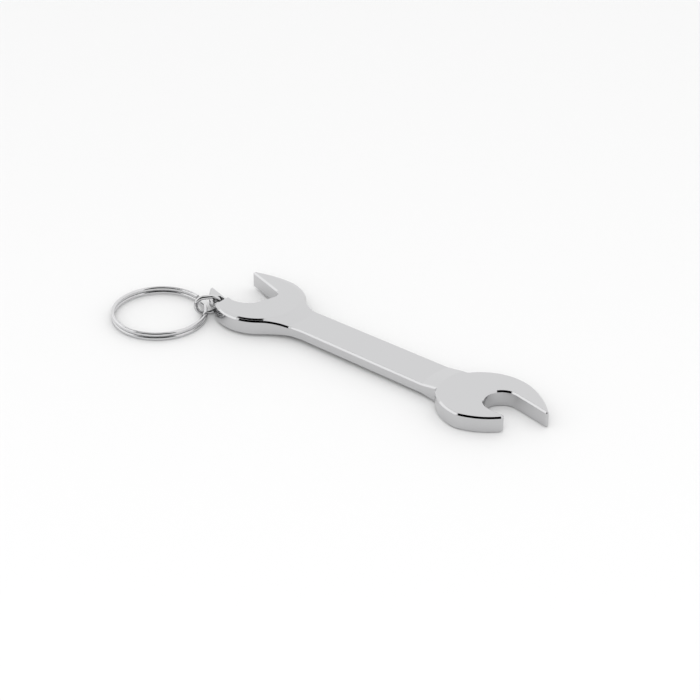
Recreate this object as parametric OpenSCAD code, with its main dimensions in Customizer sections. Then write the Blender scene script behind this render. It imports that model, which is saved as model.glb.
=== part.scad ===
// Keychain bottle opener in the shape of a double-ended spanner.
// The die-cast opener lies along X, with its opener head towards +X. A wire
// link goes through the hole in a jaw of the other head and holds a split ring.

/* [Handle] */
// Width of the handle next to the ring-end head
handle_w = 9.9; // [9.6:0.1:10.2]
// Width of the handle next to the opener head
handle_wide_w = 10.6; // [10.4:0.1:10.8]
// Thickness of the handle
handle_t = 2.9; // [2.7:0.1:3]

/* [Ring-end head] */
// Thickness of both heads
head_t = 4.4; // [4.2:0.1:4.5]
// Radius of the ring-end head
ring_head_r = 11.8; // [11.6:0.1:12]
// Distance of its centre from the middle of the handle
ring_head_x = 31; // [30.8:0.1:31.2]
// Jaw opening across the flats
jaw_w = 11.8; // [11.6:0.1:12]
// Angle between the jaw and the handle
jaw_tilt = 17; // [16.5:0.5:17.5]

/* [Opener head] */
// Radius of the throat that takes the rim of a crown cap
throat_r = 4.6; // [4.5:0.05:4.65]
// Angle of the long jaw's inner face
long_jaw_tilt = 10.3; // [10:0.1:10.5]

/* [Hole] */
// Diameter of the hole for the link
hole_d = 2.8; // [2.7:0.05:2.9]
// Thickness of the land round the hole
land_t = 2.5; // [2.4:0.1:2.6]

/* [Connecting link] */
// Wire diameter of the link
link_wire = 1.1; // [1:0.05:1.15]
// Gap between the link's arms, above and below the land together
link_gap = 0.75; // [0.6:0.05:0.8]

/* [Split ring] */
// Outer diameter of the split ring
ring_od = 24.7; // [24.6:0.1:25]
// Width of its wire, measured along the ring's radius
ring_wire_w = 1; // [0.9:0.05:1.05]
// Height of one turn of the wire
ring_wire_h = 1.05; // [1:0.05:1.1]
// Angle by which the ring leans down from the link to the surface
ring_lean = 0.4; // [0:0.1:0.4]

/* [Hidden] */
$fn = 96;

// Middle of the footprint of the whole part, on the surface that it lies on
foot = [-2.508, -9.009, -0.645];

half_w = handle_w / 2;
half_wide_w = handle_wide_w / 2;
handle_z = (head_t - handle_t) / 2;
handle_top = handle_z + handle_t;

function polar(r, a) = r * [cos(a), sin(a)];
function heading(a, b) = atan2(b[1] - a[1], b[0] - a[0]);
function arc(c, r, a0, a1) =
    let (n = max(2, ceil(abs(a1 - a0) / 6)))
    [for (i = [0:n]) c + polar(r, a0 + (a1 - a0) * i / n)];

// Ring-end head: round, with its jaw leaning by jaw_tilt off the handle's axis
head_c = [-ring_head_x, 0];
function in_jaw(along, across) =
    head_c + [-along * cos(jaw_tilt) + across * sin(jaw_tilt),
              along * sin(jaw_tilt) + across * cos(jaw_tilt)];
near_flat = -6.3;
far_flat = near_flat + jaw_w;
near_corner_r = 5.4;
far_corner_r = 2.5;
far_corner = in_jaw(1.2, far_flat - far_corner_r);
near_corner = in_jaw(4.2, near_flat + near_corner_r);
far_tip_r = 0.5;
near_tip_r = 0.4;
far_tip = in_jaw(12, far_flat + 0.2);
near_tip = in_jaw(12.5, near_flat - near_tip_r);
// A jaw's back has a flatter curve than the head
jaw_back_r = 20;
jaw_back_c = head_c + [0, ring_head_r - jaw_back_r];
// The thin land round the hole: its outer corners, and where the full head ends
land_corners = [[-44, -4.5], [-42, -7.2]];
land_x = -37.6;
land_meet = 180 + acos((-land_x - ring_head_x) / ring_head_r);

// Concave blends between the ring-end head and the handle
far_blend_r = 8;
near_blend_r = 18;
function blend_x(r) = sqrt(pow(ring_head_r + r, 2) - pow(half_w + r, 2));
far_blend = head_c + [blend_x(far_blend_r), half_w + far_blend_r];
near_blend = head_c + [blend_x(near_blend_r), -half_w - near_blend_r];

// Opener head: its far curve, the long jaw's back, the near curve and the
// short jaw's back, each tangent to the next
far_c = [42.9, -3.05];
far_r = 14.1;
long_back_a = 65;
long_back_r = 24;
long_back_c = far_c + polar(far_r - long_back_r, long_back_a);
near_c = [41.2, 1.95];
near_r = 13.35;
bottom_a = 264;
bottom_r = 5;
bottom_c = near_c + polar(near_r - bottom_r, bottom_a);
short_back_a = 286;
short_back_r = 17.5;
short_back_c = bottom_c + polar(bottom_r - short_back_r, short_back_a);
short_tip = [49.4, -5.35];
short_tip_r = 0.8;
long_tip = [57, 3.2];
long_tip_r = 0.25;
throat_c = [46.1, 0.25];
long_face_a = 90 - long_jaw_tilt;

far_edge = concat(
    arc(long_tip, long_tip_r, long_face_a - 180, heading(long_back_c, long_tip)),
    arc(long_back_c, long_back_r, heading(long_back_c, long_tip), long_back_a),
    arc(far_c, far_r, long_back_a, 180 - asin((half_wide_w + 0.3 - far_c[1]) / far_r)),
    arc(far_blend, far_blend_r, 270, 360 + heading(far_blend, head_c)),
    arc(head_c, ring_head_r, heading(head_c, far_blend), 90),
    arc(jaw_back_c, jaw_back_r, 90, heading(jaw_back_c, far_tip)),
    arc(far_tip, far_tip_r, heading(jaw_back_c, far_tip), 270 - jaw_tilt));

ring_jaw = concat(
    arc(far_corner, far_corner_r, 90 - jaw_tilt, 10),
    arc(near_corner, near_corner_r, 10, -90 - jaw_tilt));

near_edge = concat(
    arc(near_tip, near_tip_r, 90 - jaw_tilt, 205),
    land_corners,
    arc(head_c, ring_head_r, land_meet, 360 + heading(head_c, near_blend)),
    arc(near_blend, near_blend_r, heading(near_blend, head_c), 90),
    arc(near_c, near_r, 180 + asin((half_wide_w + near_c[1]) / near_r), bottom_a),
    arc(bottom_c, bottom_r, bottom_a, short_back_a),
    arc(short_back_c, short_back_r, short_back_a, 360 + heading(short_back_c, short_tip)),
    arc(short_tip, short_tip_r, heading(short_back_c, short_tip), 90));

plan = concat(far_edge, ring_jaw, near_edge, arc(throat_c, throat_r, 270, long_face_a));

hole_at = [-39.7, -6.1];
land_z = head_t / 2 - land_t / 2;

// Connecting link: an oval of round wire, upright in the plane of the hole's
// axis. Both ends are half circles. It lies on the surface, so most of its slack
// is under the land
link_a = 231.5;
arm_r = (land_t + link_gap + link_wire) / 2;
oval_z = head_t / 2 - 0.12;
hole_end = arm_r - 0.3;
ring_end = 3.8;

// Split ring: two turns of nearly square wire with flattened corners, one on the other.
ring_r = (ring_od - ring_wire_w) / 2;
turn_gap = 0.03;
// It lies on the surface, so only its upper turn goes through the link. ring_a is the
// way from the link to the ring's middle
ring_a = 227;
ring_seat = 3.45;
wire_z = 1.14;

// A head's raised part, about its centre. It is level out to level_r, then
// slopes to the handle's faces, and runs on at the same height along the jaws
module raised(level_r, slope_w, side) {
    rise = head_t - handle_top;
    slope_end = level_r + slope_w;
    profile = [[0, 0], [level_r, 0], [slope_end, rise], [slope_end, head_t - rise],
        [level_r, head_t], [0, head_t]];
    rotate_extrude() polygon(profile);
    rotate([90, 0, 90 * side]) linear_extrude(22) {
        polygon(profile);
        mirror([1, 0]) polygon(profile);
    }
}

module opener_body() color("lightgrey") translate(-foot) difference() {
    union() {
        translate([0, 0, handle_z]) linear_extrude(handle_t) polygon(plan);
        intersection() {
            linear_extrude(head_t) polygon(plan);
            union() {
                translate([-ring_head_x, 0, 0]) raised(10.4, 4.5, -1);
                translate([42.4, 0, 0]) raised(12.8, 4.5, 1);
            }
        }
    }
    for (z = [-1, land_z + land_t])
        translate([land_x - 10, -12, z]) cube([10, 10.5, land_z + 1]);
    translate([hole_at[0], hole_at[1], -1]) cylinder(d = hole_d, h = head_t + 2);
}

// Half of a wire ring about Y, on the +X side
module half_ring() rotate([90, 0, 0]) rotate([0, 0, -90])
    rotate_extrude(angle = 180) translate([arm_r, 0]) circle(d = link_wire, $fn = 32);

module connecting_link() color("silver") translate(-foot)
    translate([hole_at[0], hole_at[1], oval_z]) rotate(link_a) {
        translate([ring_end, 0, 0]) half_ring();
        translate([hole_end, 0, 0]) mirror([1, 0, 0]) half_ring();
        for (z = [-arm_r, arm_r])
            translate([hole_end, 0, z]) rotate([0, 90, 0])
                cylinder(d = link_wire, h = ring_end - hole_end, $fn = 32);
    }

// Centre of the wire at an angle along the coil: level for most of each turn,
// with one short ramp beside the link that takes the wire down to its second turn
ramp_a = 24;
ramp_mid = 360;
function coil_z(a) =
    let (t = min(1, max(0, (a - ramp_mid + ramp_a / 2) / ramp_a)))
    (0.5 - t * t * (3 - 2 * t)) * (ring_wire_h + turn_gap);
section = [for (c = [[1, 1], [-1, 1], [-1, -1], [1, -1]], k = [0, 1])
    let (cut = 0.26, flip = c[0] * c[1] > 0 ? k : 1 - k)
    [c[0] * (ring_wire_w / 2 - cut * flip), c[1] * (ring_wire_h / 2 - cut * (1 - flip))]];

module split_ring() {
    sides = len(section);
    steps = 110;
    coil_end = 360 + ramp_mid - ramp_a / 2 - 6;
    coil_start = ramp_a / 2 + 6;
    function ring_at(i) = let (a = coil_start + (coil_end - coil_start) * i / steps)
        [for (p = section) [(ring_r + p[0]) * cos(a), (ring_r + p[0]) * sin(a), p[1] + coil_z(a)]];
    points = [for (i = [0:steps]) each ring_at(i)];
    sleeve = [for (i = [0:steps - 1], j = [0:sides - 1])
        let (k = (j + 1) % sides, b = i * sides)
        [b + j, b + k, b + sides + k, b + sides + j]];
    caps = [[for (j = [sides - 1:-1:0]) j], [for (j = [0:sides - 1]) steps * sides + j]];
    color("silver") translate(-foot)
        translate([hole_at[0], hole_at[1], wire_z] + concat(polar(ring_seat, link_a), 0))
            rotate(ring_a) rotate([0, ring_lean, 0])
                translate([ring_r, 0, -(ring_wire_h + turn_gap) / 2]) rotate(192)
                    polyhedron(points, concat(sleeve, caps), convexity = 6);
}

opener_body();
connecting_link();
split_ring();
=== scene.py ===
"""Keychain bottle opener in bright chrome, lying on a pale table."""

from math import acos, atan2, ceil, cos, hypot, pi, radians, sin, sqrt

import bpy
import numpy as np
from bpy.props import FloatProperty, FloatVectorProperty, PointerProperty
from mathutils import Matrix, Vector
from mathutils.geometry import delaunay_2d_cdt


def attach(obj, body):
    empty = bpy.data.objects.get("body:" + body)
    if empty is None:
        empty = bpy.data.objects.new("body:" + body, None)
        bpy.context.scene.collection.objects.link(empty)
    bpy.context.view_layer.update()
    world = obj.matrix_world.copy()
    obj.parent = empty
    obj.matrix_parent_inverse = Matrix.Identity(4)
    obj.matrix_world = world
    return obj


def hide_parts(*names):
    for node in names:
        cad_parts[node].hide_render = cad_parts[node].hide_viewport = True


bl_info = {
    "name": "Keychain bottle opener",
    "version": (1, 0, 0),
    "blender": (4, 5, 0),
    "location": "3D View > Sidebar > Opener",
    "description": "Builds a chrome keychain bottle opener, its wire link, its split ring and a studio",
    "category": "Object",
}

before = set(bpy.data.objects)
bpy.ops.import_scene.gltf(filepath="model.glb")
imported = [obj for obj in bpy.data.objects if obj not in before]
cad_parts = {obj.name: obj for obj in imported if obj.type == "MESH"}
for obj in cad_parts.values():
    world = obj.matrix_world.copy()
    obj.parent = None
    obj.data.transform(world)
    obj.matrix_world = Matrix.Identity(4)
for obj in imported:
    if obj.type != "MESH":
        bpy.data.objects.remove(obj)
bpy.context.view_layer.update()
MM = 0.001

# The handle's middle, on the underside of the heads, in the row frame (mm)
HOME = Vector((2.508, 9.009, 0.645))
HOLE = Vector((-39.7, -6.1))
HEAD = Vector((-31, 0))
THROAT = Vector((46.1, 0.25))


def linear(hex_colour):
    """An sRGB hex colour as linear RGB."""
    parts = [int(hex_colour[i : i + 2], 16) / 255 for i in (1, 3, 5)]
    return [c / 12.92 if c <= 0.04045 else ((c + 0.055) / 1.055) ** 2.4 for c in parts]


def length(name, about, default):
    return FloatProperty(
        name=name, description=about, default=default * MM, min=0, unit="LENGTH", precision=5
    )


def colour(name, about, default):
    return FloatVectorProperty(
        name=name, description=about, default=linear(default), size=3, min=0, max=1, subtype="COLOR"
    )


class OpenerBodySizes(bpy.types.PropertyGroup):
    """Sizes of the cast body"""

    handle_w: length("Handle width", "Width of the handle next to the ring-end head", 9.9)
    handle_wide_w: length(
        "Handle width at the opener head", "Width of the handle next to the opener head", 10.6
    )
    handle_t: length("Handle thickness", "Thickness of the handle", 2.9)
    head_t: length("Head thickness", "Thickness of both heads", 4.4)
    land_t: length("Land thickness", "Thickness of the land round the hole", 2.5)
    hole_d: length("Hole diameter", "Diameter of the hole for the link", 2.8)
    edge: length("Edge chamfer", "Size of the soft chamfer along the outer edges", 0.45)
    rim: length("Rim chamfer", "Size of the soft chamfer round the hole", 0.12)


class OpenerWireSizes(bpy.types.PropertyGroup):
    """Sizes of the connecting link and the split ring"""

    link_wire: length("Link wire", "Wire diameter of the link", 1.1)
    link_arm: length("Link end radius", "Radius of the link's ends, at the middle of the wire", 2.175)
    ring_od: length("Ring diameter", "Outer diameter of the split ring", 24.7)
    ring_wire_w: length("Ring wire width", "Width of the ring's wire along its radius", 1)
    ring_wire_h: length("Ring wire height", "Height of one turn of the ring's wire", 1.05)
    ring_corner: length("Ring wire corner", "Corner radius of the ring's wire", 0.44)


class OpenerColours(bpy.types.PropertyGroup):
    """Colours of the metals and of the table"""

    chrome: colour("Chrome", "Bright chrome of the body", "#C5C5C6")
    link: colour("Link wire", "Nickel plate of the link", "#C9C9CA")
    ring: colour("Ring wire", "Nickel plate of the split ring", "#CDCDCE")
    table: colour("Table", "Colour of the table", "#DFDFDF")


def add(tree, kind, inputs=(), **settings):
    """A node with its settings. inputs gives a value, or another node's output, for each named socket."""
    node = tree.nodes.new(kind)
    for name, value in settings.items():
        setattr(node, name, value)
    for socket, value in dict(inputs).items():
        if isinstance(value, bpy.types.NodeSocket):
            tree.links.new(value, node.inputs[socket])
        else:
            node.inputs[socket].default_value = value
    return node


def plated_metal(name, rgb, roughness, haze, wave_mm, wave_depth_mm):
    """Polished plated metal. haze is the spread of its roughness, wave the size of its unevenness."""
    material = bpy.data.materials.new(name)
    material.use_nodes = True
    tree = material.node_tree
    tree.nodes.clear()
    place = add(tree, "ShaderNodeTexCoord").outputs["Object"]
    wave = add(tree, "ShaderNodeTexNoise", {"Vector": place, "Scale": 1000 / wave_mm, "Detail": 1.5})
    wear = add(tree, "ShaderNodeTexNoise", {"Vector": place, "Scale": 1000 / (wave_mm * 0.4), "Detail": 5})
    rough = add(
        tree, "ShaderNodeMapRange",
        {"Value": wear.outputs["Fac"], "From Min": 0.35, "From Max": 0.7,
         "To Min": roughness, "To Max": roughness + haze},
    )
    bump = add(
        tree, "ShaderNodeBump",
        {"Height": wave.outputs["Fac"], "Strength": 1.0, "Distance": wave_depth_mm * MM},
    )
    metal = add(
        tree, "ShaderNodeBsdfPrincipled",
        {"Base Color": (*rgb, 1), "Metallic": 1.0, "Roughness": rough.outputs["Result"],
         "Normal": bump.outputs["Normal"]},
    )
    add(tree, "ShaderNodeOutputMaterial", {"Surface": metal.outputs["BSDF"]})
    return material


def plain(name, rgb, roughness):
    """A matt surface with a very fine mottle."""
    material = bpy.data.materials.new(name)
    material.use_nodes = True
    tree = material.node_tree
    tree.nodes.clear()
    place = add(tree, "ShaderNodeTexCoord").outputs["Object"]
    grain = add(tree, "ShaderNodeTexNoise", {"Vector": place, "Scale": 1000 / 0.8, "Detail": 2})
    bump = add(
        tree, "ShaderNodeBump", {"Height": grain.outputs["Fac"], "Strength": 0.2, "Distance": 0.02 * MM}
    )
    paper = add(
        tree, "ShaderNodeBsdfPrincipled",
        {"Base Color": (*rgb, 1), "Roughness": roughness, "Specular IOR Level": 0.2,
         "Normal": bump.outputs["Normal"]},
    )
    add(tree, "ShaderNodeOutputMaterial", {"Surface": paper.outputs["BSDF"]})
    return material


def glow(name, radiance):
    """An even, shadeless surface that glows at the given radiance, though it is no lamp; the cards that
    paint reflections in the metal are made of it.
    """
    material = bpy.data.materials.new(name)
    material.use_nodes = True
    material.node_tree.nodes.clear()
    light = add(material.node_tree, "ShaderNodeEmission", {"Strength": radiance})
    add(material.node_tree, "ShaderNodeOutputMaterial", {"Surface": light.outputs["Emission"]})
    return material


def new_object(name, mesh):
    obj = bpy.data.objects.new(name, mesh)
    bpy.context.scene.collection.objects.link(obj)
    return obj


def polar(r, degrees):
    return Vector((r * cos(radians(degrees)), r * sin(radians(degrees))))


def in_jaw(along, across, tilt=17):
    """A point of the ring-end head, measured along and across its jaw."""
    c, s = cos(radians(tilt)), sin(radians(tilt))
    return HEAD + Vector((-along * c + across * s, along * s + across * c))


def body_outline(half_w, half_wide_w):
    """The body's outline as a belt over circles: (centre, radius), with a negative radius for a hollow."""
    far_c, near_c = Vector((42.9, -3.05)), Vector((41.2, 1.95))
    far_r, near_r, head_r, bottom_r, short_back_r, long_back_r = 14.1, 13.35, 11.8, 5, 17.5, 24
    bottom_c = near_c + polar(near_r - bottom_r, 264)

    def blend(centre, r, side, half, hollow):
        """A hollow that joins a head's round side to the handle's edge."""
        y = side * (half + hollow)
        run = sqrt((r + hollow) ** 2 - (y - centre.y) ** 2)
        return Vector((centre.x + (run if centre is HEAD else -run), y)), -hollow

    return [
        (Vector((56.8, 3.3)), 0.46),
        (far_c + polar(far_r - long_back_r, 65), long_back_r),
        (far_c, far_r),
        blend(far_c, far_r, 1, half_wide_w + 0.15, 1.2),
        blend(HEAD, head_r, 1, half_w, 8),
        (HEAD, head_r),
        (HEAD + Vector((0, head_r - 20)), 20),
        (in_jaw(12.1, 6), 0.5),
        (in_jaw(1.2, 3), -2.5),
        (in_jaw(4.2, -0.9), -5.4),
        (in_jaw(12.45, -6.8), 0.5),
        (Vector((-43.55, -4.75)), 0.5),
        (Vector((-41.75, -6.8)), 0.5),
        (HEAD, head_r),
        blend(HEAD, head_r, -1, half_w, 18),
        blend(near_c, near_r, -1, half_wide_w, 0.35),
        (near_c, near_r),
        (bottom_c, bottom_r),
        (bottom_c + polar(bottom_r - short_back_r, 286), short_back_r),
        (Vector((49.4, -5.15)), 0.8),
        (THROAT, -4.6),
    ]


def belt(circles, inset):
    """Points of the belt, moved in by inset, and its outward normals."""
    turns = []
    for (c, r), (d, s) in zip(circles, circles[1:] + circles[:1]):
        way = d - c
        turns.append(atan2(way.y, way.x) - acos(max(-1, min(1, (r - s) / way.length))))
    points = []
    for i, (c, r) in enumerate(circles):
        start, sign = turns[i - 1], 1 if r > 0 else -1
        sweep = sign * ((sign * (turns[i] - start)) % (2 * pi))
        if abs(sweep) > 1.8 * pi:
            sweep = 0
        steps = max(1, ceil(max(abs(sweep) / radians(6), abs(sweep * r) / 0.7)))
        for k in range(steps + 1):
            n = Vector((cos(start + sweep * k / steps), sin(start + sweep * k / steps)))
            points.append((c + (r - inset) * n, n))
    filled = []
    for (p, n), (q, m) in zip(points, points[1:] + points[:1]):
        if (q - p).length < 1e-4:
            continue
        pieces = ceil((q - p).length / 1.2)
        filled += [(p.lerp(q, k / pieces), n.lerp(m, k / pieces).normalized()) for k in range(pieces)]
    return filled


def eased(t, soft=0.07):
    """0 to 1 in a straight line, with its two corners rounded."""
    if t < -soft or t > 1 + soft:
        return 0.0 if t < 0 else 1.0
    if t < soft:
        return (t + soft) ** 2 / (4 * soft)
    return t if t < 1 - soft else 1 - (1 + soft - t) ** 2 / (4 * soft)


# The step from the full head down to the land: distance past its edge (mm), and share of the drop
STEP_X = -37.6
STEP = (
    (-0.32, 0), (-0.2, 0.03), (-0.09, 0.11), (-0.02, 0.25),
    (0.04, 0.7), (0.08, 0.87), (0.17, 0.96), (0.3, 1),
)
# Each head's ramp down to the handle: its centre, where it starts, its width, and the way to the handle
RAMPS = ((-31, 10.4, 4.5, -1), (42.4, 12.8, 4.5, 1))


def half_height(x, y, head, handle, land):
    """Half of the body's thickness at a point."""
    centre, level, slope, side = RAMPS[0] if x < 6 else RAMPS[1]
    r = abs(y) if (x - centre) * side > 0 else hypot(x - centre, y)
    height = head + (handle - head) * eased((r - level) / slope)
    if y < -1.5 and x < STEP_X + 0.4:
        drop = np.interp(STEP_X - x, *zip(*STEP))
        height += (land - height) * float(drop)
    return height


def crease_lines():
    """Lines that the body's faces bend along."""
    lines = []
    for centre, level, slope, side in RAMPS:
        for t in (-0.07, 0, 0.07, 0.35, 0.65, 0.93, 1, 1.07):
            r = level + slope * t
            turn = 90 if side < 0 else -90
            arc = [Vector((centre, 0)) + polar(r, (0 if side < 0 else 180) + a) for a in range(-90, 91, 5)]
            ends = [[Vector((centre + side * 16, p.y)), p] for p in (arc[0], arc[-1])]
            lines += [arc] + (ends if side < 0 else [])
    lines += [[Vector((STEP_X - d, -12)), Vector((STEP_X - d, -2))] for d, _ in STEP]
    return lines


def cut_face(loops, lines):
    """Triangles that fill the first loop, less the others, and that keep to the lines."""
    spots, edges = [], []
    for path, closed in [(loop, True) for loop in loops] + [(line, False) for line in lines]:
        first = len(spots)
        spots += path
        edges += [(first + k, first + k + 1) for k in range(len(path) - 1)]
        if closed:
            edges.append((len(spots) - 1, first))
    made = delaunay_2d_cdt(spots, edges, [], 0, 1e-6)
    spots, faces = np.array([tuple(p) for p in made[0]]), np.array(made[2])
    middle = spots[faces].mean(axis=1)
    odd = np.zeros(len(faces), bool)
    for loop in loops:
        ring = np.array([tuple(p) for p in loop])
        for (ax, ay), (bx, by) in zip(ring, np.roll(ring, -1, axis=0)):
            crosses = (ay > middle[:, 1]) != (by > middle[:, 1])
            with np.errstate(divide="ignore", invalid="ignore"):
                odd ^= crosses & (middle[:, 0] < ax + (middle[:, 1] - ay) * (bx - ax) / (by - ay))
    faces = faces[odd]
    a, b, c = (spots[faces[:, k]] for k in range(3))
    area = (b[:, 0] - a[:, 0]) * (c[:, 1] - a[:, 1]) - (b[:, 1] - a[:, 1]) * (c[:, 0] - a[:, 0])
    faces[area < 0] = faces[area < 0][:, ::-1]
    used, faces = np.unique(faces, return_inverse=True)
    return spots[used], faces.reshape(-1, 3)


def borders(faces):
    """The closed loops of edges that only one triangle has, with the faces on their left."""
    sides = {(int(f[k]), int(f[(k + 1) % 3])) for f in faces for k in range(3)}
    following = {a: b for a, b in sides if (b, a) not in sides}
    loops = []
    while following:
        a, b = following.popitem()
        loop = [a]
        while b != a:
            loop.append(b)
            b = following.pop(b)
        loops.append(loop)
    return sorted(loops, key=len, reverse=True)


def soft_chamfer(soft=0.2, steps=4):
    """A 45 degree chamfer with rounded corners: (way out, way down, turn of its normal), for a size of 1."""
    turns = [k * pi / 4 / steps for k in range(1, steps + 1)]
    start = [(soft * sin(t), soft * (1 - cos(t)), t) for t in turns]
    return start + [(1 - d, 1 - o, pi / 2 - t) for o, d, t in reversed([(0, 0, 0)] + start)]


def rounded_slab(face, inset_normals, sizes, height_at):
    """A closed solid, the same above and below z = 0, from its flat faces, the size of each border's
    chamfer and its height. Returns its points, normals and faces."""
    spots, triangles = face
    points, normals, faces = [], [], []
    profile = soft_chamfer()
    e = 0.01

    def tilt(x, y):
        dx = (height_at(x + e, y) - height_at(x - e, y)) / (2 * e)
        dy = (height_at(x, y + e) - height_at(x, y - e)) / (2 * e)
        return Vector((-dx, -dy, 1)).normalized()

    heights = [height_at(x, y) for x, y in spots]
    tilts = [tilt(x, y) for x, y in spots]
    for up in (1, -1):
        base = len(points)
        points += [(x, y, up * h) for (x, y), h in zip(spots, heights)]
        normals += [(t.x, t.y, up * t.z) for t in tilts]
        faces += [tuple(int(base + k) for k in (f if up > 0 else f[::-1])) for f in triangles]
    for loop, known, size in zip(borders(triangles), inset_normals, sizes):
        spot_list = np.array([tuple(p) for p, _ in known])
        outward = []
        for i in loop:
            gap = np.hypot(*(spot_list - spots[i]).T)
            near, other = np.argsort(gap)[:2]
            w = gap[near] / max(gap[near] + gap[other], 1e-9) if gap[near] > 1e-5 else 0
            outward.append(known[near][1].lerp(known[other][1], w).normalized())
        rings = [loop]
        for up in (1, -1):
            for out, down, turn in profile[::up]:
                rings.append(range(len(points), len(points) + len(loop)))
                for i, n in zip(loop, outward):
                    points.append((*(spots[i] + np.array(n) * size * out), up * (heights[i] - size * down)))
                    lie = tilts[i] * cos(turn) + n.to_3d() * sin(turn)
                    normals.append((lie.x, lie.y, up * lie.z))
        rings.append([len(spots) + i for i in loop])
        for upper, lower in zip(rings, rings[1:]):
            for k in range(len(loop)):
                j = (k + 1) % len(loop)
                faces.append((upper[k], lower[k], lower[j], upper[j]))
    return points, normals, faces


def swept_wire_tree():
    """Sweeps a wire with a rounded rectangular section along a line of edges, with both ends closed."""
    tree = bpy.data.node_groups.new("Swept wire", "GeometryNodeTree")
    sockets = [
        ("Path", "NodeSocketGeometry"), ("Width", "NodeSocketFloat"), ("Height", "NodeSocketFloat"),
        ("Corner", "NodeSocketFloat"), ("Corner steps", "NodeSocketInt"), ("Metal", "NodeSocketMaterial"),
    ]
    for name, kind in sockets:
        tree.interface.new_socket(name, in_out="INPUT", socket_type=kind)
    tree.interface.new_socket("Wire", in_out="OUTPUT", socket_type="NodeSocketGeometry")
    given = add(tree, "NodeGroupInput").outputs
    path = add(tree, "GeometryNodeMeshToCurve", {"Mesh": given["Path"]})
    level = add(tree, "GeometryNodeSetCurveNormal", {"Curve": path.outputs["Curve"]}, mode="Z_UP")
    section = add(
        tree, "GeometryNodeCurvePrimitiveQuadrilateral",
        {"Width": given["Width"], "Height": given["Height"]},
    )
    soft = add(
        tree, "GeometryNodeFilletCurve",
        {"Curve": section.outputs["Curve"], "Radius": given["Corner"], "Count": given["Corner steps"]},
        mode="POLY",
    )
    wire = add(
        tree, "GeometryNodeCurveToMesh",
        {"Curve": level.outputs["Curve"], "Profile Curve": soft.outputs["Curve"], "Fill Caps": True},
    )
    real = add(tree, "GeometryNodeRealizeInstances", {"Geometry": wire.outputs["Mesh"]})
    metal = add(
        tree, "GeometryNodeSetMaterial", {"Geometry": real.outputs["Geometry"], "Material": given["Metal"]}
    )
    add(tree, "NodeGroupOutput", {"Wire": metal.outputs["Geometry"]})
    return tree


def wire_piece(name, path, width, height, corner, corner_steps, metal):
    """A swept wire as a plain mesh. path is a list of points in the row frame, in metres."""
    line = bpy.data.meshes.new(name + "_path")
    line.from_pydata(path, [(k, k + 1) for k in range(len(path) - 1)], [])
    guide = new_object(name + "_path", line)
    tree = bpy.data.node_groups.get("Swept wire") or swept_wire_tree()
    modifier = guide.modifiers.new("Swept wire", "NODES")
    modifier.node_group = tree
    values = {
        "Width": width, "Height": height, "Corner": corner, "Corner steps": corner_steps, "Metal": metal
    }
    for item in tree.interface.items_tree:
        if item.in_out == "INPUT" and item.name in values:
            modifier[item.identifier] = values[item.name]
    seen = guide.evaluated_get(bpy.context.evaluated_depsgraph_get())
    mesh = bpy.data.meshes.new_from_object(seen)
    mesh.name = name
    bpy.data.objects.remove(guide)
    mesh.shade_smooth()
    mesh.set_sharp_from_angle(angle=radians(50))
    return new_object(name, mesh)


def row(x, y, z):
    """A point of the body's own frame, in mm, as a point of the row frame in metres."""
    return (Vector((x, y, z)) + HOME) * MM


class OPENER_OT_body(bpy.types.Operator):
    """Builds the cast body: handle, both heads, the land and its hole"""

    bl_idname = "opener.body"
    bl_label = "Opener body"

    def execute(self, context):
        size, tint = context.scene.opener_body, context.scene.opener_colours
        head, handle, land = (s / MM / 2 for s in (size.head_t, size.handle_t, size.land_t))
        edge, rim = size.edge / MM, size.rim / MM
        outer = belt(body_outline(size.handle_w / MM / 2, size.handle_wide_w / MM / 2), edge)
        hole_r = size.hole_d / MM / 2 + rim
        hole = [(HOLE + polar(hole_r, a), -polar(1, a)) for a in range(0, 360, 6)]
        face = cut_face([[p for p, _ in outer], [p for p, _ in hole]], crease_lines())
        points, normals, faces = rounded_slab(
            face, (outer, hole), (edge, rim), lambda x, y: half_height(x, y, head, handle, land)
        )
        mesh = bpy.data.meshes.new("opener_casting")
        mesh.from_pydata([row(x, y, z + head) for x, y, z in points], [], faces)
        mesh.shade_smooth()
        mesh.normals_split_custom_set_from_vertices([Vector(n).normalized() for n in normals])
        # Bright chrome over a polished casting: mirror-like, with slight waves left by the polishing wheel
        metal = plated_metal(
            "Bright chrome, plated on polished zinc casting", tint.chrome, 0.04, 0.03, 7, 0.003
        )
        mesh.materials.append(metal)
        body = new_object("opener_casting", mesh)
        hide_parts("opener_body")
        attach(body, "opener")
        return {"FINISHED"}


LINK_TURN = radians(231.5)
ALONG = Vector((cos(LINK_TURN), sin(LINK_TURN), 0))
# Where the link's round ends have their centres, along the link from the hole's axis, and their height (mm)
LINK_START, LINK_END, LINK_Z = 1.875, 3.8, 2.08
# Half of the gap at the link's seam, and its place along the link (mm)
SEAM, SEAM_AT = 0.035, 2.9


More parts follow.
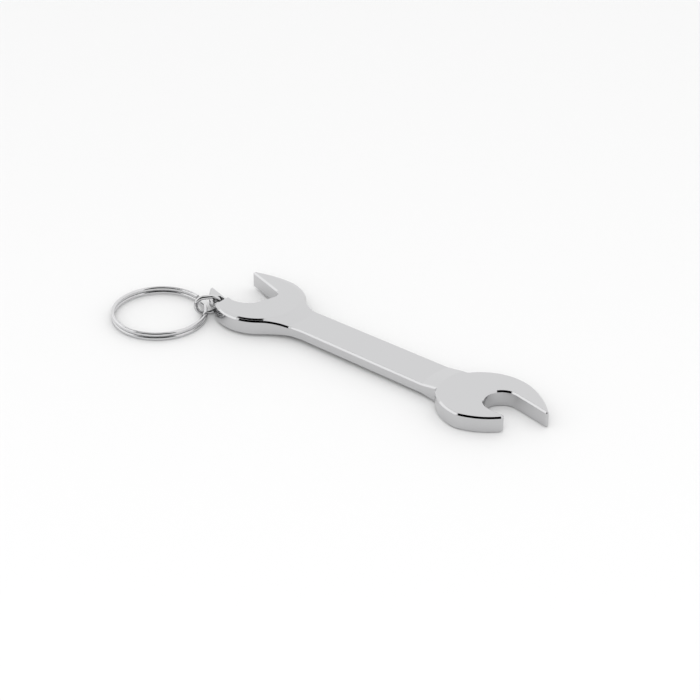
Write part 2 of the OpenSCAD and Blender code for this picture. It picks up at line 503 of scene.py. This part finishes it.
class OPENER_OT_link(bpy.types.Operator):
    """Builds the oval wire link, with the seam where its ends meet"""

    bl_idname = "opener.link"
    bl_label = "Connecting link"

    def execute(self, context):
        size, tint = context.scene.opener_wires, context.scene.opener_colours
        arm = size.link_arm / MM
        flat = [(SEAM_AT + SEAM, -arm)]
        flat += [(LINK_END + arm * cos(radians(a)), arm * sin(radians(a))) for a in range(-90, 91, 6)]
        flat += [(LINK_START + arm * cos(radians(a)), arm * sin(radians(a))) for a in range(90, 271, 6)]
        flat += [(SEAM_AT - SEAM, -arm)]
        path = [row(HOLE.x + s * ALONG.x, HOLE.y + s * ALONG.y, LINK_Z + z) for s, z in flat]
        # Round wire with a bright plate, a little duller than the body
        metal = plated_metal("Nickel plate on drawn steel wire", tint.link, 0.05, 0.04, 1.2, 0.002)
        # Corners of just under half of the wire's width make its section round
        wire = size.link_wire
        link = wire_piece("link_wire", path, wire, wire, wire * 0.499, 7, metal)
        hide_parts("connecting_link")
        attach(link, "link")
        return {"FINISHED"}


# The ring's wire inside the link: its distance from the hole's axis and its height (mm). Then the way from
# there to the ring's middle, and the ring's lean down to the table
RING_SEAT, RING_WIRE_Z = 3.45, 1.14
RING_TURN, RING_LEAN = radians(227), radians(0.4)
# The coil (degrees): where the middle of its ramp is, the ramp's length, and from there to the wire's ends
RAMP_AT, RAMP_LONG, WIRE_END = 192, 24, 18
TURN_GAP = 0.03
COIL_STEPS = 300


class OPENER_OT_ring(bpy.types.Operator):
    """Builds the split ring: one wire wound twice, with a short ramp between its turns"""

    bl_idname = "opener.ring"
    bl_label = "Split ring"

    def execute(self, context):
        size, tint = context.scene.opener_wires, context.scene.opener_colours
        mean_r = (size.ring_od - size.ring_wire_w) / 2 / MM
        rise = size.ring_wire_h / MM + TURN_GAP
        seat = Vector((HOLE.x, HOLE.y, RING_WIRE_Z)) + RING_SEAT * ALONG
        lean = (
            Matrix.Translation(seat)
            @ Matrix.Rotation(RING_TURN, 4, "Z")
            @ Matrix.Rotation(RING_LEAN, 4, "Y")
            @ Matrix.Translation((mean_r, 0, -rise / 2))
            @ Matrix.Rotation(radians(RAMP_AT), 4, "Z")
        )
        path = []
        for k in range(COIL_STEPS + 1):
            a = WIRE_END + (720 - 2 * WIRE_END) * k / COIL_STEPS
            t = min(1, max(0, (a - 360) / RAMP_LONG + 0.5))
            z = (0.5 - t * t * (3 - 2 * t)) * rise
            path.append(row(*(lean @ Vector((mean_r * cos(radians(a)), mean_r * sin(radians(a)), z)))))
        # Nearly square spring wire with rounded corners: a bright plate with a fine haze from tumbling
        metal = plated_metal(
            "Nickel plate on rounded square spring steel", tint.ring, 0.06, 0.05, 1.5, 0.002
        )
        ring = wire_piece("ring_wire", path, size.ring_wire_w, size.ring_wire_h, size.ring_corner, 5, metal)
        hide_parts("split_ring")
        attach(ring, "ring")
        return {"FINISHED"}


# The camera: the way to it (degrees), its distance and the point it looks at (mm), and its lens (mm)
AZIMUTH, ELEVATION, DISTANCE = 39.62, 30.93, 600
LOOK_AT = HOME + Vector((-1.605, 0.902, -0.36))
CAMERA_UP = Vector((-0.00698, 0, 1))
FOCAL_LENGTH, LENS_SHIFT = 123.43, (-0.0007, 0.0007)
# Where the opener head and the link's end rest on the table, along the body (mm)
HEAD_REST, LINK_REST = 50, -40.5


def direction(azimuth, elevation):
    """The way from the object to something at that azimuth and elevation."""
    a, e = radians(azimuth), radians(elevation)
    return Vector((sin(a) * cos(e), -cos(a) * cos(e), sin(e)))


def dome_patch(name, azimuths, elevations, paint):
    """Part of a sphere round the object, as a card in the studio that only reflections show."""
    distance, count = 1.4, 12
    points, faces = [], []
    for j in range(count + 1):
        for i in range(count + 1):
            a = azimuths[0] + (azimuths[1] - azimuths[0]) * i / count
            e = elevations[0] + (elevations[1] - elevations[0]) * j / count
            points.append(direction(a, e) * distance)
    for j in range(count):
        for i in range(count):
            k = j * (count + 1) + i
            faces.append((k, k + 1, k + count + 2, k + count + 1))
    mesh = bpy.data.meshes.new(name)
    mesh.from_pydata(points, [], faces)
    mesh.materials.append(paint)
    card = new_object(name, mesh)
    card.visible_camera = card.visible_diffuse = card.visible_shadow = False
    return card


def area_light(name, azimuth, elevation, distance, size, watts):
    data = bpy.data.lights.new(name, "AREA")
    data.shape, data.size, data.energy = "SQUARE", size, watts
    lamp = new_object(name, data)
    lamp.location = direction(azimuth, elevation) * distance
    lamp.rotation_mode = "QUATERNION"
    lamp.rotation_quaternion = direction(azimuth, elevation).to_track_quat("Z", "Y")
    return lamp


class OPENER_OT_stage(bpy.types.Operator):
    """Builds the table, the soft studio light and the camera"""

    bl_idname = "opener.stage"
    bl_label = "Studio"

    def execute(self, context):
        scene, tint = context.scene, context.scene.opener_colours
        # The opener head and the link both touch the table, so it slopes a little in this frame
        slope = HOME.z / (HEAD_REST - LINK_REST)
        corners = [
            Vector((x, y, HOME.z + (x - HOME.x - HEAD_REST) * slope)) * MM
            for x, y in ((-1500, -1500), (1500, -1500), (1500, 1500), (-1500, 1500))
        ]
        table = bpy.data.meshes.new("table")
        table.from_pydata(corners, [], [(0, 1, 2, 3)])
        # A matt top that shows the soft shadow under the opener, and no reflection of it
        table.materials.append(plain("Matt white laminate", tint.table, 0.6))
        floor = new_object("table", table)

        # Cards that only the metal shows, lighting nothing and casting no shadow: painted reflections, a
        # black card for its dark edge lines and a glowing card for its white ones
        black, bright = glow("Black card for painted reflections", 0), glow("Glowing card for painted reflections", 1.4)
        cards = [
            dome_patch(name, (AZIMUTH + left, AZIMUTH + right), heights, paint)
            for name, left, right, heights, paint in (
                ("near_black_card", -60, 42, (12, 85), black),
                ("far_black_card", 182, 272, (45, 64), black),
                ("left_bright_card", -150, -68, (20, 60), bright),
                ("far_bright_card", 120, 240, (66, 88), bright),
            )
        ]
        # Lights the table from the camera's side, so that the shadows stay pale
        lamp = area_light("fill_light", azimuth=AZIMUTH, elevation=40, distance=1.6, size=1.2, watts=10)
        lamp.visible_glossy = False

        world = bpy.data.worlds.new("White room")
        world.use_nodes = True
        world.node_tree.nodes["Background"].inputs["Color"].default_value = (1, 1, 1, 1)
        world.node_tree.nodes["Background"].inputs["Strength"].default_value = 1.12
        scene.world = world
        scene.view_settings.view_transform = "Standard"

        lens = bpy.data.cameras.new("camera")
        lens.sensor_width, lens.lens = 36, FOCAL_LENGTH
        lens.shift_x, lens.shift_y = LENS_SHIFT
        camera = new_object("camera", lens)
        back = direction(AZIMUTH, ELEVATION)
        right = CAMERA_UP.cross(back).normalized()
        turn = Matrix((right, back.cross(right), back)).transposed()
        camera.matrix_world = Matrix.Translation((LOOK_AT + back * DISTANCE) * MM) @ turn.to_4x4()
        scene.camera = camera
        return {"FINISHED"}


class OPENER_PT_panel(bpy.types.Panel):
    """Lists the sizes, the colours and the builders"""

    bl_idname = "OPENER_PT_panel"
    bl_label = "Keychain bottle opener"
    bl_space_type = "VIEW_3D"
    bl_region_type = "UI"
    bl_category = "Opener"

    def draw(self, context):
        for group in (context.scene.opener_body, context.scene.opener_wires, context.scene.opener_colours):
            box = self.layout.box()
            for name in group.__annotations__:
                box.prop(group, name)
        for operator in OPERATORS:
            self.layout.operator(operator.bl_idname)


GROUPS = (OpenerBodySizes, OpenerWireSizes, OpenerColours)
OPERATORS = (OPENER_OT_body, OPENER_OT_link, OPENER_OT_ring, OPENER_OT_stage)


def register():
    for cls in (*GROUPS, *OPERATORS, OPENER_PT_panel):
        bpy.utils.register_class(cls)
    bpy.types.Scene.opener_body = PointerProperty(type=OpenerBodySizes)
    bpy.types.Scene.opener_wires = PointerProperty(type=OpenerWireSizes)
    bpy.types.Scene.opener_colours = PointerProperty(type=OpenerColours)


def unregister():
    del bpy.types.Scene.opener_body, bpy.types.Scene.opener_wires, bpy.types.Scene.opener_colours
    for cls in reversed((*GROUPS, *OPERATORS, OPENER_PT_panel)):
        bpy.utils.unregister_class(cls)


def main():
    register()
    bpy.ops.opener.body()
    bpy.ops.opener.link()
    bpy.ops.opener.ring()
    bpy.ops.opener.stage()


if __name__ == "__main__":
    main()
